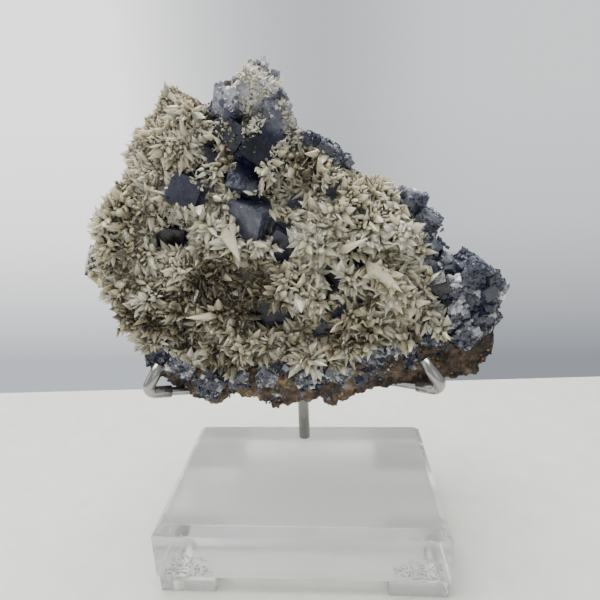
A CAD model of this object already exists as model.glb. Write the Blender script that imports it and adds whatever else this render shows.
import math
import random

import bmesh
import bpy
import numpy as np
from mathutils import Matrix, Vector, noise
from mathutils.bvhtree import BVHTree
from mathutils.kdtree import KDTree


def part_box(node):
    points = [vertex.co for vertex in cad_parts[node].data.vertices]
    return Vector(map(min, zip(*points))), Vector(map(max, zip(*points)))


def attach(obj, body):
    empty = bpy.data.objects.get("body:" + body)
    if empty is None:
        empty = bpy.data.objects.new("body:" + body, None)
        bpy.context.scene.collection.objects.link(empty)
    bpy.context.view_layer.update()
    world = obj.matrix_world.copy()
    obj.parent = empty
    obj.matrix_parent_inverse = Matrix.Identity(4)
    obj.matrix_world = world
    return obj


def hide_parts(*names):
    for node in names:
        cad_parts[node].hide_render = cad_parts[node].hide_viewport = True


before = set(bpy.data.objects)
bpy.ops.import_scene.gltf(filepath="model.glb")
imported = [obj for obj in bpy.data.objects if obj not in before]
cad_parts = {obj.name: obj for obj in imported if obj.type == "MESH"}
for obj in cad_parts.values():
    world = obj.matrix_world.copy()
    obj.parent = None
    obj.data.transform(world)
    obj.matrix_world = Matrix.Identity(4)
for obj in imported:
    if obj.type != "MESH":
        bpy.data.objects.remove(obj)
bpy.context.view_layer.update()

MM = 0.001

# The block's middle, in millimetres, from which the stand and camera are set out
BLOCK_LOW, BLOCK_HIGH = (Vector(corner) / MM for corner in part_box("base_block"))
STAND_X = (BLOCK_LOW.x + BLOCK_HIGH.x) / 2
STAND_Y = (BLOCK_LOW.y + BLOCK_HIGH.y) / 2

# The rock's own frame: u right, v up the face, w towards the viewer, in millimetres
LEAN = math.radians(7.0)
REST_Y = 4.0
REST_Z = 78.0
ROCK = (
    Matrix.Translation(Vector((STAND_X, STAND_Y + REST_Y, REST_Z)) * MM)
    @ Matrix.Rotation(-LEAN, 4, "X")
)
ROCK_BACK = ROCK.inverted()
OUTWARD = (ROCK.to_3x3() @ Vector((0.0, -1.0, 0.0))).normalized()


def in_rock(u, v, w):
    return ROCK @ (Vector((u, -w, v)) * MM)


def to_rock(point):
    """The (u, v, w) of a world point, in millimetres."""
    local = ROCK_BACK @ point / MM
    return local.x, local.z, -local.y


# Shader helpers

def new_material(name):
    material = bpy.data.materials.new(name)
    material.use_nodes = True
    return material, material.node_tree, material.node_tree.nodes["Principled BSDF"]


def node(tree, kind, **settings):
    made = tree.nodes.new(kind)
    for key, value in settings.items():
        if key in made.inputs:
            made.inputs[key].default_value = value
        else:
            setattr(made, key, value)
    return made


def noise_node(tree, scale, detail=4.0, roughness=0.55, kind="ShaderNodeTexNoise"):
    """A noise pattern on Object coordinates."""
    coords = node(tree, "ShaderNodeTexCoord")
    made = node(tree, kind)
    made.inputs["Scale"].default_value = scale
    if "Detail" in made.inputs:
        made.inputs["Detail"].default_value = detail
        made.inputs["Roughness"].default_value = roughness
    tree.links.new(coords.outputs["Object"], made.inputs["Vector"])
    return made


def ramp(tree, factor, stops, interpolation="LINEAR"):
    """A colour ramp over a factor, from (position, colour) stops."""
    made = node(tree, "ShaderNodeValToRGB")
    made.color_ramp.interpolation = interpolation
    elements = made.color_ramp.elements
    while len(elements) < len(stops):
        elements.new(0.5)
    for element, (position, colour) in zip(elements, stops):
        element.position = position
        element.color = (*colour, 1.0)
    tree.links.new(factor, made.inputs["Fac"])
    return made.outputs["Color"]


def mix(tree, factor, first, second, blend="MIX"):
    made = node(tree, "ShaderNodeMix", data_type="RGBA", blend_type=blend)
    for socket, value in ((0, factor), (6, first), (7, second)):
        if isinstance(value, (int, float)):
            made.inputs[socket].default_value = value
        elif isinstance(value, tuple):
            made.inputs[socket].default_value = (*value, 1.0)
        else:
            tree.links.new(value, made.inputs[socket])
    return made.outputs[2]


def level(tree, factor, from_low, from_high, to_low, to_high):
    made = node(tree, "ShaderNodeMapRange")
    for key, value in (("From Min", from_low), ("From Max", from_high),
                       ("To Min", to_low), ("To Max", to_high)):
        made.inputs[key].default_value = value
    tree.links.new(factor, made.inputs["Value"])
    return made.outputs["Result"]


def attribute(tree, name):
    return node(tree, "ShaderNodeAttribute", attribute_name=name)


def bump(tree, shader, height, strength, distance):
    made = node(tree, "ShaderNodeBump", Strength=strength, Distance=distance)
    tree.links.new(height, made.inputs["Height"])
    tree.links.new(made.outputs["Normal"], shader.inputs["Normal"])


# Materials

def calcite_material(name, light, mid, dark, roughness):
    """Cream spar: each crystal has its own tone, greyer and browner towards its root."""
    material, tree, shader = new_material(name)
    tone = attribute(tree, "tone").outputs["Fac"]
    height = attribute(tree, "height").outputs["Fac"]
    body = ramp(tree, tone, ((0.0, dark), (0.45, mid), (1.0, light)))
    cloud = noise_node(tree, 38.0, 3.0).outputs["Fac"]
    patch = ramp(tree, cloud, ((0.35, (0.62, 0.60, 0.56)), (0.62, (1.0, 1.0, 1.0))))
    body = mix(tree, 0.8, body, patch, "MULTIPLY")
    root = ramp(tree, height, ((0.0, (0.30, 0.28, 0.24)), (0.33, (0.80, 0.79, 0.745)),
                               (0.7, (1.0, 0.995, 0.98)), (1.0, (1.2, 1.19, 1.16))))
    body = mix(tree, 1.0, body, root, "MULTIPLY")
    tree.links.new(body, shader.inputs["Base Color"])
    fine = noise_node(tree, 900.0, 2.0).outputs["Fac"]
    tree.links.new(level(tree, fine, 0.3, 0.7, roughness - 0.1, roughness + 0.15),
                   shader.inputs["Roughness"])
    shader.inputs["IOR"].default_value = 1.58
    shader.inputs["Transmission Weight"].default_value = 0.22
    shader.inputs["Subsurface Weight"].default_value = 0.6
    shader.inputs["Subsurface Radius"].default_value = (1.0, 0.85, 0.6)
    shader.inputs["Subsurface Scale"].default_value = 0.004
    bump(tree, shader, noise_node(tree, 1400.0, 3.0).outputs["Fac"], 0.25, 0.0003)
    return material


def fluorite_material():
    """Glassy cubes from near black navy through grey blue to lavender, clouded and zoned."""
    material, tree, shader = new_material("zoned_fluorite")
    tone = attribute(tree, "tone").outputs["Fac"]
    cloud = noise_node(tree, 70.0, 5.0, 0.6).outputs["Fac"]
    veil = noise_node(tree, 260.0, 4.0, 0.6).outputs["Fac"]
    shifted = node(tree, "ShaderNodeMath", operation="ADD")
    tree.links.new(tone, shifted.inputs[0])
    tree.links.new(level(tree, cloud, 0.3, 0.7, -0.24, 0.2), shifted.inputs[1])
    body = ramp(tree, shifted.outputs["Value"], (
        (0.0, (0.003, 0.004, 0.007)), (0.22, (0.007, 0.010, 0.032)), (0.45, (0.026, 0.031, 0.054)),
        (0.65, (0.085, 0.092, 0.12)), (0.82, (0.30, 0.30, 0.34)), (1.0, (0.70, 0.69, 0.69))))
    pale = ramp(tree, veil, ((0.52, (0.0, 0.0, 0.0)), (0.70, (0.16, 0.165, 0.18))))
    clouded = ramp(tree, tone, ((0.15, (0.0, 0.0, 0.0)), (0.45, (0.35, 0.35, 0.35)),
                                (0.8, (1.0, 1.0, 1.0))))
    body = mix(tree, 0.6, body, mix(tree, 1.0, pale, clouded, "MULTIPLY"), "ADD")
    pits = noise_node(tree, 420.0, kind="ShaderNodeTexVoronoi")
    pits.distance = "MANHATTAN"
    frost = ramp(tree, pits.outputs["Distance"], ((0.55, (0.0, 0.0, 0.0)), (0.8, (0.11, 0.115, 0.13))))
    frost = mix(tree, 1.0, frost, clouded, "MULTIPLY")
    body = mix(tree, veil, body, mix(tree, 1.0, body, frost, "ADD"))
    tree.links.new(body, shader.inputs["Base Color"])
    tree.links.new(level(tree, veil, 0.35, 0.7, 0.1, 0.45), shader.inputs["Roughness"])
    shader.inputs["IOR"].default_value = 1.43
    shader.inputs["Coat Weight"].default_value = 0.15
    shader.inputs["Coat Roughness"].default_value = 0.08
    shader.inputs["Subsurface Weight"].default_value = 0.15
    shader.inputs["Subsurface Radius"].default_value = (0.5, 0.6, 1.0)
    shader.inputs["Subsurface Scale"].default_value = 0.003
    steps = node(tree, "ShaderNodeMath", operation="ADD")
    tree.links.new(veil, steps.inputs[0])
    tree.links.new(level(tree, pits.outputs["Distance"], 0.0, 1.0, 0.0, 0.5), steps.inputs[1])
    bump(tree, shader, steps.outputs["Value"], 0.5, 0.0006)
    return material


def rock_material():
    """Dark brown ironstone with ochre rust, grey patches and bright specks."""
    material, tree, shader = new_material("ironstained_rock")
    broad = noise_node(tree, 42.0, 6.0, 0.62).outputs["Fac"]
    fine = noise_node(tree, 230.0, 5.0, 0.65).outputs["Fac"]
    grain = noise_node(tree, 1100.0, 3.0, 0.6).outputs["Fac"]
    body = ramp(tree, broad, (
        (0.30, (0.022, 0.017, 0.016)), (0.45, (0.06, 0.042, 0.032)), (0.54, (0.12, 0.088, 0.06)),
        (0.59, (0.215, 0.155, 0.092)), (0.65, (0.10, 0.08, 0.066)), (0.85, (0.26, 0.24, 0.22))))
    dirt = ramp(tree, fine, ((0.36, (0.3, 0.28, 0.27)), (0.5, (0.85, 0.82, 0.8)),
                             (0.68, (1.8, 1.7, 1.55))))
    body = mix(tree, 1.0, body, dirt, "MULTIPLY")
    specks = ramp(tree, grain, ((0.66, (0.0, 0.0, 0.0)), (0.74, (0.30, 0.27, 0.22))))
    body = mix(tree, 0.7, body, specks, "ADD")
    tone = attribute(tree, "tone").outputs["Fac"]
    crumbs = ramp(tree, tone, ((0.0, (1.0, 1.0, 1.0)), (0.01, (0.35, 0.32, 0.30)),
                               (0.4, (1.0, 0.92, 0.82)), (0.75, (2.2, 1.9, 1.45)),
                               (1.0, (4.2, 4.0, 3.6))))
    body = mix(tree, 1.0, body, crumbs, "MULTIPLY")
    tree.links.new(body, shader.inputs["Base Color"])
    tree.links.new(level(tree, fine, 0.3, 0.7, 0.95, 0.5), shader.inputs["Roughness"])
    bump(tree, shader, fine, 0.9, 0.003)
    return material


def steel_material():
    """Drawn stainless rod with fine lengthwise scratches."""
    material, tree, shader = new_material("drawn_steel")
    shader.inputs["Metallic"].default_value = 1.0
    mottle = noise_node(tree, 120.0, 4.0).outputs["Fac"]
    tree.links.new(ramp(tree, mottle, ((0.3, (0.34, 0.33, 0.32)), (0.7, (0.42, 0.41, 0.395)))),
                   shader.inputs["Base Color"])
    scratches = noise_node(tree, 900.0, 6.0, 0.7).outputs["Fac"]
    tree.links.new(level(tree, scratches, 0.3, 0.7, 0.14, 0.3), shader.inputs["Roughness"])
    bump(tree, shader, scratches, 0.05, 0.0001)
    return material


def acrylic_material(name, roughness, clearness, hazy_above=None):
    """Clear cast acrylic with faint handling haze, thicker on a face above this height."""
    material, tree, shader = new_material(name)
    shader.inputs["Base Color"].default_value = (0.97, 0.975, 0.97, 1.0)
    shader.inputs["Transmission Weight"].default_value = clearness
    shader.inputs["IOR"].default_value = 1.49
    haze = noise_node(tree, 30.0, 5.0).outputs["Fac"]
    blur = level(tree, haze, 0.35, 0.75, roughness, roughness + 0.12)
    if hazy_above is not None:
        coords = node(tree, "ShaderNodeTexCoord")
        parts = node(tree, "ShaderNodeSeparateXYZ")
        tree.links.new(coords.outputs["Object"], parts.inputs["Vector"])
        higher = node(tree, "ShaderNodeMath", operation="ADD")
        tree.links.new(blur, higher.inputs[0])
        tree.links.new(level(tree, parts.outputs["Z"], hazy_above - 0.3 * MM, hazy_above, 0.0, 0.34),
                       higher.inputs[1])
        blur = higher.outputs["Value"]
    tree.links.new(blur, shader.inputs["Roughness"])
    bump(tree, shader, noise_node(tree, 14.0, 2.0).outputs["Fac"], 0.03, 0.001)
    return material


def vinyl_material():
    """Clear tube shrunk tight on the rod, so that it reads as satin metal under a soft gloss."""
    material, tree, shader = new_material("clear_vinyl")
    cloud = noise_node(tree, 160.0, 4.0).outputs["Fac"]
    tree.links.new(ramp(tree, cloud, ((0.3, (0.29, 0.285, 0.275)), (0.7, (0.37, 0.365, 0.355)))),
                   shader.inputs["Base Color"])
    shader.inputs["Metallic"].default_value = 0.85
    shader.inputs["Coat Weight"].default_value = 0.5
    shader.inputs["Coat Roughness"].default_value = 0.12
    shader.inputs["IOR"].default_value = 1.5
    tree.links.new(level(tree, cloud, 0.3, 0.7, 0.18, 0.27), shader.inputs["Roughness"])
    bump(tree, shader, cloud, 0.1, 0.0003)
    return material


# Mesh helpers

def finish_piece(name, bm, material, nodes=(), smooth=False):
    """Makes a bmesh into a piece that rides on the stand."""
    mesh = bpy.data.meshes.new(name)
    bm.to_mesh(mesh)
    bm.free()
    return dress(name, mesh, material, nodes, smooth)


def dress(name, mesh, material, nodes=(), smooth=False):
    mesh.materials.clear()
    mesh.materials.append(material)
    mesh.polygons.foreach_set("use_smooth", [smooth] * len(mesh.polygons))
    piece = bpy.data.objects.new(name, mesh)
    bpy.context.scene.collection.objects.link(piece)
    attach(piece, "root")
    if nodes:
        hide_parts(*nodes)
    return piece


def cad_copy(name):
    """A merged bmesh copy of a CAD node, in world place."""
    bm = bmesh.new()
    bm.from_mesh(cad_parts[name].data)
    bmesh.ops.remove_doubles(bm, verts=bm.verts[:], dist=1e-6)
    return bm


def remeshed(name, bm, grain, smoothing=0):
    """The mesh rebuilt in even cells of this many millimetres, then relaxed."""
    mesh = bpy.data.meshes.new(name)
    bm.to_mesh(mesh)
    bm.free()
    helper = bpy.data.objects.new(name, mesh)
    bpy.context.scene.collection.objects.link(helper)
    cells = helper.modifiers.new("cells", "REMESH")
    cells.mode = "VOXEL"
    cells.voxel_size = grain * MM
    if smoothing:
        relax = helper.modifiers.new("relax", "SMOOTH")
        relax.iterations = smoothing
        relax.factor = 0.5
    graph = bpy.context.evaluated_depsgraph_get()
    made = bpy.data.meshes.new_from_object(helper.evaluated_get(graph))
    bpy.data.objects.remove(helper)
    out = bmesh.new()
    out.from_mesh(made)
    out.normal_update()
    return out


def main_body(bm):
    """Deletes every island of a mesh but the largest."""
    unseen = set(bm.verts)
    largest = set()
    while unseen:
        island = {unseen.pop()}
        edge_of_search = list(island)
        while edge_of_search:
            vert = edge_of_search.pop()
            for edge in vert.link_edges:
                other = edge.other_vert(vert)
                if other in unseen:
                    unseen.remove(other)
                    island.add(other)
                    edge_of_search.append(other)
        if len(island) > len(largest):
            largest = island
    bmesh.ops.delete(bm, geom=[vert for vert in bm.verts if vert not in largest])


def ridged(point, width, seed):
    """Craggy noise from about -1 to 1 at this width in millimetres."""
    spot = point / (width * MM) + Vector((seed, 0.0, 0.0))
    return 1.0 - 3.0 * abs(noise.noise(spot))


def set_attribute(mesh, name, values):
    made = mesh.attributes.new(name, "FLOAT", "POINT")
    made.data.foreach_set("value", np.asarray(values, dtype=np.float32))


def spar_template():
    """A dogtooth crystal along +Z: a zigzag waist at 0, a blunt foot below and a sharp tip at 1."""
    bm = bmesh.new()
    bmesh.ops.create_cone(
        bm, cap_ends=True, segments=6, radius1=1.0, radius2=0.54, depth=0.5,
        matrix=Matrix.Translation((0.0, 0.0, 0.25)),
    )
    caps = [face for face in bm.faces if len(face.verts) == 6]
    foot, crown = sorted(caps, key=lambda face: face.calc_center_median().z)
    for ring, swing in ((foot, 0.07), (crown, 0.04)):
        around = sorted(ring.verts, key=lambda vert: math.atan2(vert.co.y, vert.co.x))
        for index, vert in enumerate(around):
            vert.co.z += swing if index % 2 else -swing
            if index % 2:
                vert.co.xy *= 0.84
    bmesh.ops.poke(bm, faces=[foot], offset=0.45)
    bmesh.ops.poke(bm, faces=[crown], offset=0.5)
    bmesh.ops.recalc_face_normals(bm, faces=bm.faces[:])
    return bm


def cube_template(edge):
    """A cube, with its edges broken by this much where it's large enough to show."""
    bm = bmesh.new()
    bmesh.ops.create_cube(bm, size=1.0)
    if edge:
        bmesh.ops.bevel(
            bm, geom=bm.edges[:], offset=edge, segments=1, profile=0.5, affect="EDGES",
            material=-1,
        )
    return bm


def template_arrays(bm):
    bmesh.ops.triangulate(bm, faces=bm.faces[:])
    bm.verts.ensure_lookup_table()
    verts = np.array([vert.co[:] for vert in bm.verts])
    faces = np.array([[vert.index for vert in face.verts] for face in bm.faces])
    bm.free()
    return verts, faces


def joined_copies(name, template, places, tones):
    """One mesh of many copies of a template, each with its 4x4 place and its tone."""
    verts, faces = template
    places = np.asarray(places)
    count = len(places)
    spots = np.einsum("nij,vj->nvi", places[:, :3, :3], verts) + places[:, None, :3, 3]
    index = faces[None] + (np.arange(count) * len(verts))[:, None, None]
    mesh = bpy.data.meshes.new(name)
    mesh.vertices.add(count * len(verts))
    mesh.vertices.foreach_set("co", spots.reshape(-1))
    mesh.loops.add(index.size)
    mesh.loops.foreach_set("vertex_index", index.reshape(-1).astype(np.int32))
    mesh.polygons.add(count * len(faces))
    mesh.polygons.foreach_set("loop_start", np.arange(0, index.size, 3, dtype=np.int32))
    mesh.update(calc_edges=True)
    set_attribute(mesh, "tone", np.repeat(tones, len(verts)))
    low, high = verts[:, 2].min(), verts[:, 2].max()
    set_attribute(mesh, "height", np.tile((verts[:, 2] - low) / (high - low), count))
    return mesh


def place_along(root, direction, length, radius, turn, flatten=1.0):
    """The 4x4 place of a copy whose Z runs along direction."""
    turned = direction.to_track_quat("Z", "Y").to_matrix().to_4x4()
    size = Matrix.Diagonal((radius, radius * flatten, length, 1.0))
    return Matrix.Translation(root) @ turned @ Matrix.Rotation(turn, 4, "Z") @ size


def loose_direction(rng, normal, spread):
    wander = Vector((rng.gauss(0, 1), rng.gauss(0, 1), rng.gauss(0, 1))).normalized()
    return (normal + wander * spread).normalized()


def face_samples(bm, rng, spacing, keep):
    """Points spread over a mesh, at least a spacing apart, as (point, normal)."""
    bmesh.ops.triangulate(bm, faces=bm.faces[:])
    faces = [face for face in bm.faces if keep(face.calc_center_median(), face.normal)]
    total = sum(face.calc_area() for face in faces)
    weights = [face.calc_area() for face in faces]
    wanted = int(2.6 * total / (spacing * spacing))
    cells = {}
    chosen = []
    for face in rng.choices(faces, weights=weights, k=wanted):
        a, b, c = (vert.co for vert in face.verts)
        s, t = rng.random(), rng.random()
        if s + t > 1.0:
            s, t = 1.0 - s, 1.0 - t
        point = a + (b - a) * s + (c - a) * t
        key = tuple(int(math.floor(value / spacing)) for value in point)
        near = (
            other
            for dx in (-1, 0, 1) for dy in (-1, 0, 1) for dz in (-1, 0, 1)
            for other in cells.get((key[0] + dx, key[1] + dy, key[2] + dz), ())
        )
        if all((other - point).length > spacing for other in near):
            cells.setdefault(key, []).append(point)
            chosen.append((point, face.normal.copy()))
    return chosen


# Stand

ARM_RADIUS = 2.0
POST_RADIUS = 3.0
POST_TOP = 79.0
POST_X = -1.4
POST_Y = 29.0
BEND_RADIUS = 3.2
SLEEVE_OUTER = 2.9
SLEEVE_BORE = 2.3
SLEEVE_START = 7.0
GAP = 0.3
ARMS = (
    ("left", 66.0, (-71.2, -9.9, 81.0), (-63.5, -7.6, 94.4)),
    ("right", 75.5, (64.4, -9.9, 81.7), (55.2, -7.4, 95.6)),
)
BACK_TOUCH = Vector((POST_X, 31.52, 127.01))


def on_stand(point):
    """A stand point in millimetres, set out from the block's middle, in world metres."""
    return (Vector(point) + Vector((STAND_X, STAND_Y, 0.0))) * MM


def rod_path(start, bend, tip, radius, steps=14):
    """A straight run, a tight bend and a second straight run."""
    start, corner, tip = Vector(start), Vector(bend), Vector(tip)
    towards_start = (start - corner).normalized()
    towards_tip = (tip - corner).normalized()
    half = towards_start.angle(towards_tip) / 2
    reach = radius / math.tan(half)
    centre = corner + (towards_start + towards_tip).normalized() * radius / math.sin(half)
    first = corner + towards_start * reach - centre
    last = corner + towards_tip * reach - centre
    axis = first.cross(last)
    swept = first.angle(last)
    arc = [
        centre + Matrix.Rotation(swept * i / steps, 3, axis) @ first for i in range(steps + 1)
    ]
    return [start, *arc, tip]


def round_bar(name, points, radius, capped=True, sides=8):
    """A mesh of a round bar through stand points; its radius may be given point by point."""
    curve = bpy.data.curves.new(name, "CURVE")
    curve.dimensions = "3D"
    curve.bevel_depth = MM
    curve.bevel_resolution = sides
    curve.use_fill_caps = capped
    line = curve.splines.new("POLY")
    line.points.add(len(points) - 1)
    radii = radius if isinstance(radius, (list, tuple)) else [radius] * len(points)
    for spot, point, size in zip(line.points, points, radii):
        spot.co = (*on_stand(point), 1.0)
        spot.radius = size
    helper = bpy.data.objects.new(name, curve)
    bpy.context.scene.collection.objects.link(helper)
    graph = bpy.context.evaluated_depsgraph_get()
    mesh = bpy.data.meshes.new_from_object(helper.evaluated_get(graph))
    bpy.data.objects.remove(helper)
    bm = bmesh.new()
    bm.from_mesh(mesh)
    bmesh.ops.remove_doubles(bm, verts=bm.verts[:], dist=1e-7)
    bmesh.ops.recalc_face_normals(bm, faces=bm.faces[:])
    return bm


def domed(points, radius, ease=0.7):
    """The same path with small steps at its tip, and radii that round the end over."""
    *rest, before, tip = points
    along = (tip - before).normalized()
    ends = [tip - along * ease * (1.0 - math.sin(turn)) for turn in
            (0.0, math.pi / 6, math.pi / 3, math.pi / 2)]
    sizes = [radius - ease * (1.0 - math.cos(turn)) for turn in
             (0.0, math.pi / 6, math.pi / 3, math.pi / 2)]
    return [*rest, before, *ends], [radius] * (len(rest) + 1) + sizes


def rod_piece(name, points, radius, steel, node_name):
    points, radii = domed(points, radius)
    bm = round_bar(name, points, radii)
    piece = finish_piece(name, bm, steel, (node_name,), smooth=True)
    return piece


def tube_piece(name, points, vinyl, node_name):
    """A tube wall: an outer and an inner skin, joined by a rounded rim at each end."""
    low = points[0] + (points[0] - points[1]).normalized() * 0.2
    high = points[-1] + (points[-1] - points[-2]).normalized() * 0.2
    path = [low, *points[1:-1], high]
    outer = round_bar(name, path, SLEEVE_OUTER, capped=False, sides=7)
    inner = round_bar(name, path, SLEEVE_BORE, capped=False, sides=7)
    bmesh.ops.reverse_faces(inner, faces=inner.faces[:])
    mesh = bpy.data.meshes.new(name)
    inner.to_mesh(mesh)
    inner.free()
    outer.from_mesh(mesh)
    rims = [edge for edge in outer.edges if edge.is_boundary]
    middle = (low + high) / 2
    start = on_stand(low)
    finish = on_stand(high)
    for end, other in ((start, finish), (finish, start)):
        near = [
            edge for edge in rims
            if (edge.verts[0].co - end).length < (edge.verts[0].co - other).length
        ]
        bmesh.ops.bridge_loops(outer, edges=near)
    bmesh.ops.recalc_face_normals(outer, faces=outer.faces[:])
    return finish_piece(name, outer, vinyl, (node_name,), smooth=True)


def softened_block(name, node_name, material, width, segments):
    """A clear block from its CAD solid, with its edges eased."""
    bm = cad_copy(node_name)
    bmesh.ops.dissolve_limit(
        bm, angle_limit=math.radians(1.0), verts=bm.verts[:], edges=bm.edges[:]
    )
    bmesh.ops.bevel(
        bm, geom=bm.edges[:], offset=width * MM, segments=segments, profile=0.5,
        affect="EDGES", material=-1,
    )
    return finish_piece(name, bm, material, (node_name,))


def glue_material():
    """The silvery, bubbly glue between the feet and the block."""
    material, tree, shader = new_material("bubbly_glue")
    cloud = noise_node(tree, 600.0, 3.0).outputs["Fac"]
    tree.links.new(ramp(tree, cloud, ((0.35, (0.42, 0.42, 0.41)), (0.65, (0.95, 0.95, 0.94)))),
                   shader.inputs["Base Color"])
    shader.inputs["Metallic"].default_value = 0.35
    shader.inputs["Transmission Weight"].default_value = 0.3
    tree.links.new(level(tree, cloud, 0.3, 0.7, 0.1, 0.4), shader.inputs["Roughness"])
    return material


def build_glue(rng):
    """Flattened bubbles in the thin gap over each foot, thickest near its outer corner."""
    places, tones = [], []
    for name in [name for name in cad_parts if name.startswith("foot_")]:
        low, high = (Vector(corner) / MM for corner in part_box(name))
        middle = (low + high) / 2
        out_x = high.x if middle.x > STAND_X else low.x
        out_y = high.y if middle.y > STAND_Y else low.y
        for _ in range(420):
            x = rng.uniform(low.x + 1.5, high.x - 1.5)
            y = rng.uniform(low.y + 1.5, high.y - 1.5)
            far = math.hypot(x - out_x, y - out_y) / 30.0
            if rng.random() < far + 0.25 * noise.noise(Vector((x, y, 0.0)) / 4.0):
                continue
            wide = rng.uniform(0.25, 1.0)
            spot = Vector((x, y, high.z + GAP + 0.15)) * MM
            size = Matrix.Diagonal((wide * MM, wide * rng.uniform(0.6, 1.0) * MM, 0.1 * MM, 1.0))
            places.append(Matrix.Translation(spot)
                          @ Matrix.Rotation(rng.uniform(0, math.tau), 4, "Z") @ size)
            tones.append(rng.random())
    bubble = bmesh.new()
    bmesh.ops.create_icosphere(bubble, subdivisions=1, radius=1.0)
    mesh = joined_copies("glue_bubbles", template_arrays(bubble), places, tones)
    dress("glue_bubbles", mesh, glue_material())


def build_stand():
    build_glue(random.Random(3))
    steel = steel_material()
    vinyl = vinyl_material()
    clear = acrylic_material("clear_acrylic", 0.06, 0.92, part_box("base_block")[1][2])
    cloudy = acrylic_material("foot_acrylic", 0.04, 0.94)
    softened_block("display_block", "base_block", clear, 0.35, 2)
    for name in [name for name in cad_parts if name.startswith("foot_")]:
        softened_block("clear_" + name, name, cloudy, 0.3, 2)
    post = [Vector((POST_X, POST_Y, 33.6)), Vector((POST_X, POST_Y, POST_TOP))]
    rod_piece("steel_post", post, POST_RADIUS, steel, "post")
    for side, hub_z, bend, tip in ARMS:
        hub = Vector((POST_X, POST_Y, hub_z))
        away = Vector((bend[0] - hub.x, bend[1] - hub.y, 0.0)).normalized()
        start = hub + away * (POST_RADIUS + GAP + 0.2)
        path = rod_path(start, bend, tip, BEND_RADIUS)
        rod_piece("steel_arm_" + side, path, ARM_RADIUS, steel, "arm_" + side)
        sleeve = path[1] + (path[0] - path[1]).normalized() * SLEEVE_START
        tube_piece("vinyl_" + side, [sleeve, *path[1:]], vinyl, "sleeve_" + side)
    rest = rod_path(
        (POST_X, POST_Y, POST_TOP + 2 * GAP), BACK_TOUCH + Vector((0.0, 7.0, 1.0)), BACK_TOUCH,
        BEND_RADIUS,
    )
    rod_piece("steel_arm_back", rest, ARM_RADIUS, steel, "arm_back")


# Rock

# The fluorite's shade across the face, as (u, v, reach, shade): 0 black, 0.5 grey blue, 1 white
SHADES = (
    (-14, 141, 10, 0.9), (-6, 136, 7, 0.84), (-28, 130, 8, 0.84), (-25, 125, 4, 0.6),
    (-26, 116, 6, 0.25), (-9, 121, 5, 0.55), (-2, 127, 6, 0.88), (-12, 106, 8, 0.06), (0, 117, 5, 0.7),
    (-21, 93, 8, 0.2), (-49, 92, 8, 0.36), (-50, 84, 5, 0.15), (-18, 79, 8, 0.56),
    (-6, 68, 6, 0.20), (-56, 72, 7, 0.02), (-66, 19, 8, 0.32), (-54, 16, 5, 0.6),
    (61, 50, 6, 0.08), (66, 55, 4, 0.6), (77, 50, 11, 0.42), (89, 45, 2.5, 0.85), (84, 53, 6, 0.36),
    (82, 35, 5, 0.52), (67, 48, 2.5, 1.0), (70, 40, 3, 1.0), (5, 111, 5, 0.45),
    (12, 106, 5, 0.45), (18, 101, 5, 0.4), (48, 88, 5, 0.8), (52, 82, 4, 0.5), (56, 78, 4, 0.75),
    (59, 72, 5, 0.6), (60, 62, 4, 0.8), (25, 66, 4, 0.3), (17, 52, 6, 0.0), (-12, 36, 7, 0.0),
    (-3, 34, 5, 0.0), (-40, 6, 9, 0.5), (-20, 5, 9, 0.58), (0, 6, 9, 0.56),
    (20, 7, 9, 0.58), (38, 20, 9, 0.5), (52, 26, 8, 0.5), (68, 28, 9, 0.52), (-93, 60, 5, 0.55),
)
SHADE_ELSEWHERE = 0.4

# The rock's whole outline as seen from the front
OUTLINE = (
    (-12, 146), (-8, 144), (-4, 138), (-1, 130), (0, 124), (3, 118), (4, 113), (12, 108),
    (20, 105), (26, 100), (37, 98), (46, 94), (54, 84), (60, 76), (60, 67), (65, 64), (72,
    58), (80, 56), (87, 51), (92, 42), (91, 34), (88, 29), (87, 22), (87, 14), (80, 7), (71,
    5), (60, 2), (46, 1), (30, -1), (19, -6), (14, -10), (9, -4), (-1, -7), (-13, -10),
    (-20, -5), (-32, -4), (-42, -8), (-51, -4), (-60, 1), (-67, 5), (-73, 10), (-77, 16),
    (-83, 22), (-86, 34), (-91, 45), (-95, 54), (-96, 59), (-92, 67), (-90, 83), (-82, 93),
    (-76, 98), (-76, 107), (-72, 114), (-67, 120), (-61, 126), (-58, 131), (-56, 136), (-52,
    138), (-48, 133), (-43, 130), (-38, 129), (-32, 135), (-23, 139), (-17, 143),
)
# Where calcite grows, as (u, v) outlines, and the windows in it that show the fluorite
CALCITE_AREA = (
    (-54, 134), (-50, 136), (-46, 131), (-42, 128), (-36, 126), (-33, 121), (-32, 114),
    (-29, 111), (-25, 107), (-23, 101), (-20, 98), (-13, 101), (-9, 106), (-5, 110), (2, 111),
    (7, 109), (13, 106), (18, 101), (23, 97), (28, 97), (33, 96), (40, 93), (44, 87), (47, 82),
    (52, 75), (55, 68), (57, 63), (55, 58), (58, 52), (57, 46), (62, 38), (66, 31), (65, 25),
    (59, 27), (54, 30), (52, 26), (45, 20), (39, 22), (30, 20), (24, 15), (19, 12), (10, 11),
    (0, 12), (-11, 13), (-23, 11), (-34, 10), (-44, 11), (-50, 15), (-62, 22), (-73, 20),
    (-78, 26), (-82, 35), (-87, 46), (-91, 55), (-90, 67), (-86, 83), (-78, 92), (-73, 97),
    (-72, 106), (-69, 113), (-64, 119), (-58, 125), (-56, 130),
)
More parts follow.
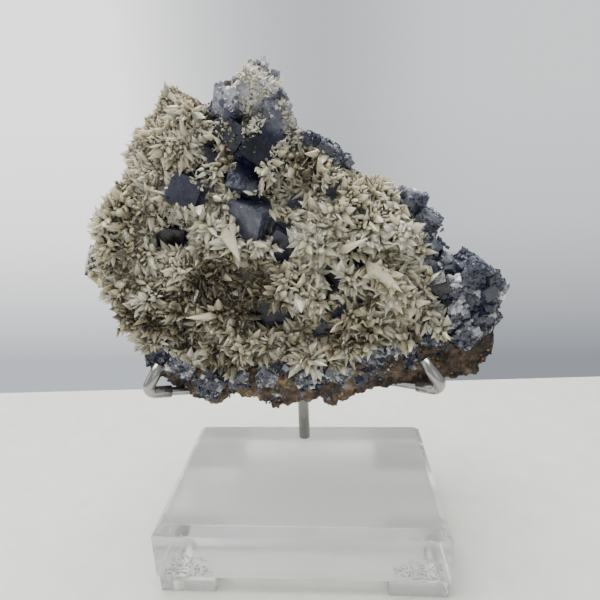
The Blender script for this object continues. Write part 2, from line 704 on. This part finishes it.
WINDOWS = (
    ((-56, 91), (-49, 97), (-44, 98), (-42, 94), (-38, 90), (-42, 84), (-53, 87)),
    ((-31, 98), (-23, 101), (-13, 99), (-13, 91), (-21, 89), (-28, 91)),
    ((-28, 87), (-14, 89), (-9, 85), (-10, 77), (-14, 69), (-21, 71), (-25, 78)),
    ((-10, 80), (-1, 76), (-1, 63), (-5, 58), (-9, 62), (-11, 70)),
    ((-62, 75), (-55, 77), (-48, 74), (-49, 68), (-57, 67), (-62, 70)),
    ((-23, 40), (-14, 42), (-5, 39), (-1, 34), (-9, 28), (-19, 31)),
    ((11, 58), (15, 60), (19, 57), (22, 50), (18, 46), (13, 48)),
    ((14, 91), (17, 92), (19, 87), (16, 85)),
    ((-3, 87), (3, 88), (4, 84), (-2, 82)),
    ((24, 44), (27, 45), (28, 41), (25, 39)), ((-19, 45), (-12, 44), (-12, 40), (-19, 41)),
    ((0, 40), (5, 38), (4, 34), (-1, 35)), ((-42, 32), (-38, 33), (-37, 29), (-41, 28)),
    ((36, 38), (40, 40), (41, 35), (37, 34)), ((-68, 92), (-65, 93), (-64, 90), (-67, 89)),
    ((-36, 108), (-31, 110), (-28, 106), (-33, 102), (-37, 104)),
)
# Bare brown rock: the bottom edge, the low right corner, and the rim of the top left notch
BARE_ROCK = (
    ((-70, 9), (-60, 2), (-51, -3), (-42, -7), (-31, -2), (-20, -3), (-12, -7), (0, -5), (9, -1),
     (14, -6), (19, -2), (30, 3), (46, 5), (60, 7), (60, -30), (-80, -30)),
    ((44, 6), (56, 12), (64, 17), (69, 18), (77, 19), (86, 20), (100, 14), (90, -10), (44, -10)),
    ((-47, 129), (-41, 126), (-35, 127), (-28, 133), (-22, 139), (-24, 143), (-40, 133),
     (-47, 134)),
)
# Calcite that sits deeper and browner, or higher and paler: (u, v, reach, change of tone)
CALCITE_TONES = (
    (-28, 47, 14, -0.75), (-40, 53, 9, -0.35), (-62, 36, 12, -0.4), (-12, 42, 9, -0.35),
    (-48, 36, 11, -0.45), (-18, 20, 18, -0.32), (10, 74, 12, 0.25), (4, 62, 9, 0.2),
    (-34, 68, 10, 0.2), (-62, 60, 10, 0.15), (-50, 118, 14, 0.3), (40, 86, 12, 0.2),
    (24, 40, 7, -0.35), (34, 52, 7, -0.25), (-80, 45, 12, -0.25), (10, 24, 12, -0.15),
    (-35, 16, 10, -0.15), (6, 101, 8, -0.2), (-28, 104, 6, -0.25), (26, 84, 6, -0.2), (5, 60, 22, 0.13),
    (0, 48, 7, -0.2), (30, 30, 9, -0.22), (-75, 68, 12, -0.1), (-40, 104, 8, 0.15),
)


def in_outline(u, v, outline):
    inside = False
    for (u0, v0), (u1, v1) in zip(outline, outline[1:] + outline[:1]):
        if (v0 > v) != (v1 > v) and u < u0 + (v - v0) * (u1 - u0) / (v1 - v0):
            inside = not inside
    return inside


def grows_calcite(u, v):
    place = Vector((u, v, 0.0)) / 3.2
    u += 1.5 * noise.noise(place)
    v += 1.5 * noise.noise(place + Vector((7.0, 0.0, 0.0)))
    if any(in_outline(u, v, window) for window in WINDOWS):
        return False
    if u < -42 and v > 24:
        return True
    return in_outline(u, v, CALCITE_AREA)


def grows_near(u, v):
    """Whether this place is in the calcite's area, windows included."""
    return in_outline(u, v, CALCITE_AREA) or (u < -42 and v > 24)


def is_bare(u, v):
    return any(in_outline(u, v, outline) for outline in BARE_ROCK)


def shade_at(u, v):
    total = 0.08
    value = SHADE_ELSEWHERE * total
    for spot_u, spot_v, reach, shade in SHADES:
        near = math.exp(-((u - spot_u) ** 2 + (v - spot_v) ** 2) / (reach * reach))
        total += near
        value += near * shade
    return value / total


def refined(bm, longest):
    """Splits edges until none is longer than this many millimetres."""
    for _ in range(5):
        long_edges = [edge for edge in bm.edges if edge.calc_length() > longest * MM]
        if not long_edges:
            break
        bmesh.ops.subdivide_edges(bm, edges=long_edges, cuts=1)
        bmesh.ops.triangulate(bm, faces=[face for face in bm.faces if len(face.verts) > 3])


def shade_by_place(mesh, wander=0.1):
    values = []
    for vert in mesh.vertices:
        u, v, w = to_rock(vert.co)
        value = shade_at(u, v) + wander * noise.noise(Vector((u, v, w)) / 5.0)
        values.append(min(1.0, max(0.0, value)))
    set_attribute(mesh, "tone", values)


def node_tree_of(*names):
    """A search tree over some CAD nodes' surfaces."""
    bm = bmesh.new()
    for name in names:
        bm.from_mesh(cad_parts[name].data)
    tree = BVHTree.FromBMesh(bm)
    bm.free()
    return tree


def build_matrix(rng):
    bm = remeshed("rock_form", cad_copy("matrix"), 1.1, 1)
    main_body(bm)
    for vert in bm.verts:
        crag = ridged(vert.co, 11.0, 3.0) * 1.0 + ridged(vert.co, 3.5, 8.0) * 0.9
        vert.co += vert.normal * crag * MM
    rust = rock_material()
    surface = BVHTree.FromBMesh(bm)
    finish_piece("brown_rock", bm, rust, ("matrix",))
    places, tones = [], []
    for point, normal, (u, v, w) in front_samples("matrix", rng, 1.5, -0.6):
        if surface.find_nearest(point)[3] > 0.6 * MM:
            continue
        if (is_bare(u, v) or rng.random() < 0.15) and in_outline(u, v, OUTLINE):
            turn = Matrix.Rotation(rng.uniform(0, math.tau), 4, loose_direction(rng, normal, 2.0))
            size = Matrix.Diagonal([rng.uniform(0.3, 1.0) * MM for _ in range(3)] + [1.0])
            places.append(Matrix.Translation(point + normal * 0.2 * MM) @ turn @ size)
            tones.append(rng.random())
    crumb = bmesh.new()
    bmesh.ops.create_icosphere(crumb, subdivisions=1, radius=1.0)
    mesh = joined_copies("rock_crumbs", template_arrays(crumb), places, tones)
    print("crumbs", len(places))
    dress("rock_crumbs", mesh, rust)


# Clusters of clear or whitish blocks: place, (width, height), shade, spread, count
CLEAR_CLUSTERS = (
    ((-13, 139, 9), (1.6, 5.5), 0.86, 3.0, 30),
    ((-8, 134, 10), (1.5, 4.5), 0.83, 3.0, 28),
    ((-19, 137, 9), (1.5, 5.0), 0.82, 3.0, 26),
    ((-3, 126, 10), (1.4, 4.0), 0.78, 3.0, 22),
    ((-27, 130, 10), (1.5, 4.5), 0.74, 3.0, 20),
    ((61, 50, 16), (6.5, 7.0), 0.03, 0.0, 1),
    ((66, 56, 13), (5.0, 5.5), 0.5, 0.0, 1),
    ((80, 48, 12), (5.5, 6.0), 0.3, 3.0, 5),
    ((82, 36, 11), (4.0, 4.5), 0.25, 3.0, 5),
    ((67, 49, 15), (2.1, 3.0), 0.9, 2.0, 22),
    ((70, 40, 13), (2.0, 2.8), 0.9, 2.4, 22),
    ((88, 44, 8), (2.0, 2.8), 0.9, 1.4, 9),
    ((53, 30, 11), (1.4, 2.0), 0.85, 2.5, 12),
    ((41, 18, 11), (1.4, 2.0), 0.88, 2.0, 12),
)


SUGAR_SPACING = 0.95


def front_samples(name, rng, spacing, facing=-0.25):
    """Points on a CAD node's front, with their normals and (u, v, w)."""
    bm = cad_copy(name)
    refined(bm, 6.0)
    found = face_samples(bm, rng, spacing * MM, lambda point, normal: normal.dot(OUTWARD) > facing)
    bm.free()
    return [(point, normal, to_rock(point)) for point, normal in found]


def uncovered(point, covers, reach=16.0):
    """Whether nothing lies over a point within this many millimetres."""
    hit = covers.ray_cast(point + OUTWARD * 0.4 * MM, OUTWARD, reach * MM)
    return hit[0] is None


def build_fluorite(rng, glass):
    bm = cad_copy("fluorite")
    refined(bm, 3.0)
    mesh = bpy.data.meshes.new("fluorite_bed")
    bm.to_mesh(mesh)
    bm.free()
    shade_by_place(mesh)
    dress("fluorite_bed", mesh, glass, ("fluorite",))

    places, tones = [], []
    for name in ("fluorite", "matrix", "calcite"):
        covers = node_tree_of(*[other for other in ("fluorite", "matrix") if other != name])
        for point, normal, (u, v, w) in front_samples(name, rng, SUGAR_SPACING):
            if grows_calcite(u, v) or is_bare(u, v) or not uncovered(point, covers):
                continue
            sunk = 0.0
            if name == "calcite":
                if not (v < 24 or u > 50):
                    continue
                sunk = 2.0
            if rng.random() > sugar_at(u, v):
                continue
            side = rng.uniform(0.6, 1.6) + (1.6 if rng.random() < 0.05 else 0.0)
            if sugar_at(u, v) < 0.4:
                side *= 0.7
            patch = Vector((u, v, w)) / 9.0
            turn = Matrix.Rotation(noise.noise(patch) * 3.0 + rng.gauss(0, 0.15), 4, "Y")
            tip = Matrix.Rotation(
                noise.noise(patch + Vector((9, 0, 0))) * 2.0 + rng.gauss(0, 0.15), 4, "X"
            )
            roll = Matrix.Rotation(noise.noise(patch + Vector((0, 9, 0))) * 2.0, 4, "Z")
            size = Matrix.Diagonal((1.0, rng.uniform(0.8, 1.1), 1.0, 1.0)) * (side * MM)
            size[3][3] = 1.0
            spot = point - normal * (side * 0.15 + sunk) * MM
            places.append(Matrix.Translation(spot) @ turn @ tip @ roll @ size)
            shade = shade_at(u, v) + rng.gauss(0.0, 0.12)
            odd = rng.random()
            streak = noise.noise(Vector((u / 5.0, v / 2.2, w / 5.0)))
            if v < 33:
                shade += 0.6 * streak
            if odd < (0.04 if v < 33 or u > 40 else 0.0):
                shade = rng.uniform(0.75, 0.9)
            tones.append(min(1.0, max(0.0, shade)))
    print("fluorite sugar", len(places))
    mesh = joined_copies("fluorite_sugar", template_arrays(cube_template(0.0)), places, tones)
    dress("fluorite_sugar", mesh, glass)

    places, tones = [], []
    for (u, v, w), (wide, tall), shade, spread, count in CLEAR_CLUSTERS:
        for _ in range(count):
            near_u = u + rng.uniform(-1.5, 1.5) * spread
            near_v = v + rng.uniform(-1.5, 1.5) * spread
            if not in_outline(near_u, near_v, OUTLINE):
                continue
            lean = loose_direction(rng, ROCK.to_3x3() @ Vector((0.0, -0.7, 0.7)), 0.6)
            size = rng.uniform(0.6, 1.2)
            spot = in_rock(near_u, near_v, w + rng.gauss(0, 0.8))
            places.append(place_along(spot, lean, tall * size * MM, wide * size * MM,
                                      rng.uniform(0, math.tau)))
            tones.append(min(1.0, shade + rng.gauss(0.0, 0.08)))
    mesh = joined_copies("fluorite_blocks", template_arrays(cube_template(0.06)), places, tones)
    dress("fluorite_blocks", mesh, glass)


NAVY_FACE = ((-19, 109), (-5, 113), (-2, 104), (-10, 98), (-19, 101))


def sugar_at(u, v):
    """How thickly small cubes cover the fluorite here, from 0 to 1."""
    if v < 20 or (u > 26 and v < 33):
        return 0.9
    if u > 62 and v > 40:
        return 0.75
    if v > 122 or u > 40:
        return 0.5
    if v > 96 and u > 3:
        return 0.65
    if v > 110 and not in_outline(u, v, NAVY_FACE):
        return 0.35
    return 0.04


def crystal_size(u, v):
    """Calcite length in millimetres, which grows from the fine top left to the coarse middle."""
    if v > 95:
        return 4.6
    if u < -45:
        return 5.2
    if v > 80:
        return 4.6
    if -20 < u < 60 and 15 < v < 75:
        return 6.6
    return 6.0


def spray_centres(points, spacing):
    """Every crystal belongs to the nearest of these, and points away from its buried middle."""
    cells = {}
    picked = []
    for point, normal in points:
        key = tuple(int(math.floor(value / (spacing * MM))) for value in point)
        near = [
            other
            for dx in (-1, 0, 1) for dy in (-1, 0, 1) for dz in (-1, 0, 1)
            for other in cells.get((key[0] + dx, key[1] + dy, key[2] + dz), ())
        ]
        if all((point - other).length > spacing * MM for other in near):
            cells.setdefault(key, []).append(point)
            picked.append((point, normal))
    return picked


SPAR_SPACING = 1.3
SPRAY_SPACING = 8.0
SPRAY_DEPTH = 4.5
DRUSE_SPACING = 1.35
SPARS_A_PIECE = 6000
SPRAY_LIFT = 4.2
# Thin growths of small calcite on the fluorite: outline, share of it covered, length, tone
PALE_GROWTH = (
    (((-22, 141), (-20, 133), (-15, 129), (-9, 127), (-4, 129), (-2, 136), (-6, 147),
      (-16, 147)), 0.7, 5.2, 0.95),
    (((-21, 128), (-12, 128), (-11, 113), (-20, 113)), 0.75, 4.6, 0.6),
    (((-5, 128), (1, 124), (6, 112), (1, 107), (-3, 112)), 0.75, 4.4, 0.55),
    (((-33, 118), (-27, 121), (-23, 113), (-29, 106)), 0.6, 4.2, 0.3),
    (((3, 115), (12, 110), (20, 107), (26, 101), (12, 101), (5, 107)), 0.15, 2.4, 0.4),
    (((56, 62), (62, 64), (66, 55), (61, 54)), 0.3, 2.6, 0.5),
    (((-62, 14), (-45, 22), (-20, 14), (20, 14), (45, 24), (64, 32), (66, 22), (40, 8), (20, 2),
      (0, 1), (-20, 0), (-45, -1)), 0.45, 2.3, 0.32),
)
LONE_CRYSTALS = (
    ((30, 60, 17), (44, 48, 26), 5.0),
    ((-30, 77, 17), (-22, 62, 25), 4.6),
    ((19, 64, 17), (31, 70, 23), 3.4),
    ((-34, 37, 16), (-47, 38, 23), 3.8),
    ((38, 48, 16), (45, 38, 23), 4.2),
    ((-53, 130, 7), (-53, 138, 10), 2.8),
    ((-86, 86, 4), (-91, 84, 6), 2.4),
)


def window_depth(u, v):
    """How much of a small disc about this place is free of calcite, from 0 to 1."""
    spots = [(u, v)] + [
        (u + 2.0 * math.cos(turn), v + 2.0 * math.sin(turn)) for turn in (0.0, 1.57, 3.14, 4.71)
    ]
    return sum(not grows_calcite(*spot) for spot in spots) / len(spots)


def tone_change(u, v):
    change = 0.0
    for spot_u, spot_v, spread, amount in CALCITE_TONES:
        near = ((u - spot_u) ** 2 + (v - spot_v) ** 2) / (spread * spread)
        change += amount * math.exp(-near)
    return change


def clear_of(point, beds):
    """How far a point is from the nearest of these surfaces."""
    return min(bed.find_nearest(point)[3] for bed in beds)


def build_calcite(rng):
    form = remeshed("calcite_form", cad_copy("calcite"), 1.6, 14)
    main_body(form)
    for vert in form.verts:
        u, v, w = to_rock(vert.co)
        for _ in range(6):
            if in_outline(u, v, OUTLINE):
                break
            vert.co += (ROCK.to_3x3() @ Vector((-u, 0.0, 72.0 - v)).normalized()) * 1.2 * MM
            u, v, w = to_rock(vert.co)
        if w > 4.0:
            vert.co -= OUTWARD * 13.0 * MM * window_depth(u, v)
            vert.co -= vert.normal * 1.2 * MM
    form.normal_update()
    mesh = bpy.data.meshes.new("calcite_growth")
    form.to_mesh(mesh)
    set_attribute(mesh, "tone", [0.2] * len(mesh.vertices))
    set_attribute(mesh, "height", [0.1] * len(mesh.vertices))
    spar = calcite_material(
        "cream_calcite", (0.97, 0.925, 0.77), (0.79, 0.725, 0.56), (0.155, 0.135, 0.10), 0.16
    )
    dress("calcite_growth", mesh, spar, ("calcite",), smooth=True)

    points = []
    for point, normal in face_samples(form, rng, SPAR_SPACING * MM,
                                      lambda point, normal: normal.dot(OUTWARD) > -0.5):
        u, v, w = to_rock(point)
        if window_depth(u, v) < 0.5:
            points.append((point, normal))
    druse = []
    for point, normal in face_samples(form, rng, DRUSE_SPACING * MM,
                                      lambda point, normal: normal.dot(OUTWARD) > -0.3):
        u, v, w = to_rock(point)
        if window_depth(u, v) < 0.7 or (v < 60 and rng.random() < 0.06):
            druse.append((point, normal))
    beds = [BVHTree.FromBMesh(form)]
    form.free()
    for name in ("fluorite_bed", "brown_rock"):
        bed = bmesh.new()
        bed.from_mesh(bpy.data.objects[name].data)
        beds.append(BVHTree.FromBMesh(bed))
        bed.free()
    covers = node_tree_of("calcite", "fluorite", "matrix")
    for name in ("fluorite", "matrix"):
        for point, normal, (u, v, w) in front_samples(name, rng, 0.9, 0.0):
            share = 1.0 if window_depth(u, v) < 0.5 else 0.012 * (v < 60)
            if rng.random() < share and grows_near(u, v) and uncovered(point, covers):
                (points if rng.random() < 0.5 else druse).append((point, normal))

    extra = []
    for name in ("fluorite", "matrix"):
        for point, normal, (u, v, w) in front_samples(name, rng, 0.9, -0.4):
            if in_outline(u, v, NAVY_FACE) or not in_outline(u, v, OUTLINE):
                continue
            if not uncovered(point, covers):
                continue
            for outline, share, longest, tone in PALE_GROWTH:
                if in_outline(u, v, outline) and rng.random() < share:
                    length = rng.uniform(0.45, 1.0) * longest
                    extra.append((point, normal, length, tone + rng.uniform(-0.2, 0.2)))
                    break

    centres = spray_centres(points, SPRAY_SPACING)
    tree = KDTree(len(centres))
    lifts = []
    for index, (point, normal) in enumerate(centres):
        low = rng.random() < 0.12
        lifts.append(-1.2 if low else rng.uniform(0.0, SPRAY_LIFT))
        tree.insert(point - normal * SPRAY_DEPTH * MM, index)
    tree.balance()
    places, tones = [], []
    for point, normal in points:
        u, v, w = to_rock(point)
        middle, spray, _ = tree.find(point)
        lift = lifts[spray] * max(0.0, normal.dot(OUTWARD))
        radial = (point - middle).normalized()
        direction = loose_direction(rng, (radial + normal * 0.4).normalized(), 0.5)
        if direction.dot(normal) < 0.15:
            direction = (direction + normal * 0.6).normalized()
        length = min(9.0, crystal_size(u, v) * rng.lognormvariate(-0.08, 0.38))
        radius = length * rng.uniform(0.21, 0.34)
        root = point + (centres[spray][1] * lift - direction * 0.25 * length) * MM
        for _ in range(3):
            tip_u, tip_v, _ = to_rock(root + direction * length * MM)
            if in_outline(tip_u, tip_v, OUTLINE):
                break
            inward = ROCK.to_3x3() @ Vector((-u, 0.0, 72.0 - v)).normalized()
            root += inward * 1.6 * MM
            length *= 0.86
        else:
            continue
        most = (4.5 if normal.dot(OUTWARD) > 0.5 else 1.6) * MM
        if clear_of(root, beds) > most:
            continue
        waist = root + direction * length * 0.3 * MM
        places.append(place_along(waist, direction, length * 0.7 * MM, radius * MM,
                                  rng.uniform(0, math.tau), rng.uniform(0.35, 0.95)))
        tone = rng.gauss(0.56, 0.15) + 0.42 * noise.noise(Vector((u, v, w)) / 11.0)
        tone += 0.085 * (lifts[spray] - 1.9)
        tones.append(min(1.0, max(0.0, tone + tone_change(u, v))))
    for point, normal in druse:
        u, v, w = to_rock(point)
        if not in_outline(u, v, OUTLINE) or clear_of(point, beds) > 0.8 * MM:
            continue
        direction = loose_direction(rng, normal, 0.8)
        length = rng.uniform(2.2, 3.8)
        waist = point - direction * 0.1 * length * MM
        places.append(place_along(waist, direction, length * 0.7 * MM,
                                  length * rng.uniform(0.24, 0.34) * MM,
                                  rng.uniform(0, math.tau), rng.uniform(0.6, 0.95)))
        tones.append(min(1.0, max(0.0, rng.gauss(0.34, 0.12) + tone_change(u, v))))
    for point, normal, length, tone in extra:
        if clear_of(point, beds) > 0.8 * MM:
            continue
        direction = loose_direction(rng, normal, 0.7)
        places.append(place_along(point, direction, length * 0.7 * MM,
                                  length * rng.uniform(0.16, 0.3) * MM,
                                  rng.uniform(0, math.tau), rng.uniform(0.6, 0.95)))
        tones.append(tone)
    for root, tip, radius in LONE_CRYSTALS:
        foot, point = in_rock(*root), in_rock(*tip)
        direction = (point - foot).normalized()
        length = (point - foot).length
        places.append(place_along(foot + direction * length * 0.3, direction, length * 0.72,
                                  radius * 0.85 * MM, 0.4, 0.7))
        tones.append(0.62)
    print("calcite crystals", len(places), "form", len(mesh.polygons), "sprays", len(centres))
    spar_shape = template_arrays(spar_template())
    for index in range(0, len(places), SPARS_A_PIECE):
        chosen = slice(index, index + SPARS_A_PIECE)
        name = "calcite_crystals_%d" % (index // SPARS_A_PIECE + 1)
        mesh = joined_copies(name, spar_shape, places[chosen], tones[chosen])
        dress(name, mesh, spar)


# Studio

def plain_piece(name, bm, material):
    mesh = bpy.data.meshes.new(name)
    bm.to_mesh(mesh)
    bm.free()
    mesh.materials.append(material)
    made = bpy.data.objects.new(name, mesh)
    bpy.context.scene.collection.objects.link(made)
    return made


def build_stage():
    cloth, tree, shader = new_material("pale_cloth")
    weave = noise_node(tree, 55.0, 6.0, 0.7).outputs["Fac"]
    tree.links.new(ramp(tree, weave, ((0.3, (0.70, 0.70, 0.66)), (0.7, (0.78, 0.78, 0.74)))),
                   shader.inputs["Base Color"])
    shader.inputs["Roughness"].default_value = 0.9
    bump(tree, shader, noise_node(tree, 900.0, 2.0).outputs["Fac"], 0.3, 0.0004)
    bm = bmesh.new()
    bmesh.ops.create_grid(bm, x_segments=1, y_segments=1, size=1.0)
    for vert, corner in zip(
        sorted(bm.verts, key=lambda vert: (vert.co.y, vert.co.x)),
        ((-600, -700), (600, -700), (-600, 130), (600, 189)),
    ):
        vert.co = on_stand((*corner, -0.2))
    plain_piece("floor", bm, cloth)

    wall, tree, shader = new_material("grey_backdrop")
    coords = node(tree, "ShaderNodeTexCoord")
    parts = node(tree, "ShaderNodeSeparateXYZ")
    tree.links.new(coords.outputs["Object"], parts.inputs["Vector"])
    across = level(tree, parts.outputs["X"], -0.5, 0.5, 0.0, 1.0)
    tint = ramp(tree, across, ((0.0, (1.2, 1.2, 1.2)), (0.22, (0.52, 0.535, 0.55)),
                               (0.5, (0.26, 0.265, 0.275)), (0.72, (0.5, 0.51, 0.525)),
                               (1.0, (0.5, 0.51, 0.525))), "B_SPLINE")
    height = level(tree, parts.outputs["Z"], -0.3, 0.3, 0.0, 1.0)
    shade = ramp(tree, height, ((0.0, (0.36, 0.38, 0.41)), (0.3, (0.68, 0.69, 0.71)),
                                (0.55, (0.95, 0.95, 0.95)), (1.0, (1.1, 1.1, 1.1))))
    tint = mix(tree, 1.0, tint, shade, "MULTIPLY")
    shader.inputs["Base Color"].default_value = (0.0, 0.0, 0.0, 1.0)
    shader.inputs["Roughness"].default_value = 1.0
    tree.links.new(tint, shader.inputs["Emission Color"])
    shader.inputs["Emission Strength"].default_value = 1.8
    bm = bmesh.new()
    bmesh.ops.create_grid(
        bm, x_segments=1, y_segments=1, size=1.6, matrix=Matrix.Rotation(math.pi / 2, 4, "X")
    )
    bmesh.ops.translate(bm, vec=(0.0, 0.9, 0.0), verts=bm.verts[:])
    plain_piece("backdrop", bm, wall)


def area_light(name, place, aim, size, power, tint):
    light = bpy.data.lights.new(name, "AREA")
    light.shape = "RECTANGLE"
    light.size, light.size_y = size
    light.energy = power
    light.color = tint
    lamp = bpy.data.objects.new(name, light)
    lamp.location = place
    lamp.rotation_euler = (Vector(aim) - Vector(place)).to_track_quat("-Z", "Y").to_euler()
    bpy.context.scene.collection.objects.link(lamp)


def build_light():
    world = bpy.data.worlds.new("studio")
    world.use_nodes = True
    world.node_tree.nodes["Background"].inputs["Color"].default_value = (0.96, 0.98, 1.0, 1.0)
    world.node_tree.nodes["Background"].inputs["Strength"].default_value = 0.5
    bpy.context.scene.world = world
    aim = (0.0, 0.0, 0.12)
    area_light("overhead", (-0.15, 0.05, 1.1), aim, (0.9, 0.7), 22.5, (1.0, 0.985, 0.94))
    area_light("front_fill", (0.5, -1.1, 0.7), aim, (0.8, 0.8), 1.5, (1.0, 0.99, 0.97))
    area_light("left_soft", (-1.1, -0.3, 0.6), aim, (0.6, 0.9), 2.0, (0.97, 0.99, 1.0))


def build_camera():
    """The photo's view, fitted to the block's corners and the hooks."""
    yaw, pitch, roll = -0.076, 0.29, -0.04
    forward = Vector((math.sin(yaw) * math.cos(pitch), math.cos(yaw) * math.cos(pitch),
                      -math.sin(pitch)))
    level_right = Vector((math.cos(yaw), -math.sin(yaw), 0.0))
    level_up = level_right.cross(forward)
    right = math.cos(roll) * level_right + math.sin(roll) * level_up
    up = -math.sin(roll) * level_right + math.cos(roll) * level_up
    data = bpy.data.cameras.new("photo_view")
    data.sensor_width = 36.0
    data.lens = 28.99
    camera = bpy.data.objects.new("photo_view", data)
    turn = Matrix((right, up, -forward)).transposed().to_4x4()
    camera.matrix_world = Matrix.Translation(on_stand((17.007, -206.511, 183.178))) @ turn
    data.clip_start, data.clip_end = 0.005, 10.0
    bpy.context.scene.collection.objects.link(camera)
    bpy.context.scene.camera = camera


def build():
    rng = random.Random(7)
    build_stand()
    build_matrix(rng)
    build_fluorite(rng, fluorite_material())
    build_calcite(rng)
    build_stage()
    build_light()
    build_camera()


build()
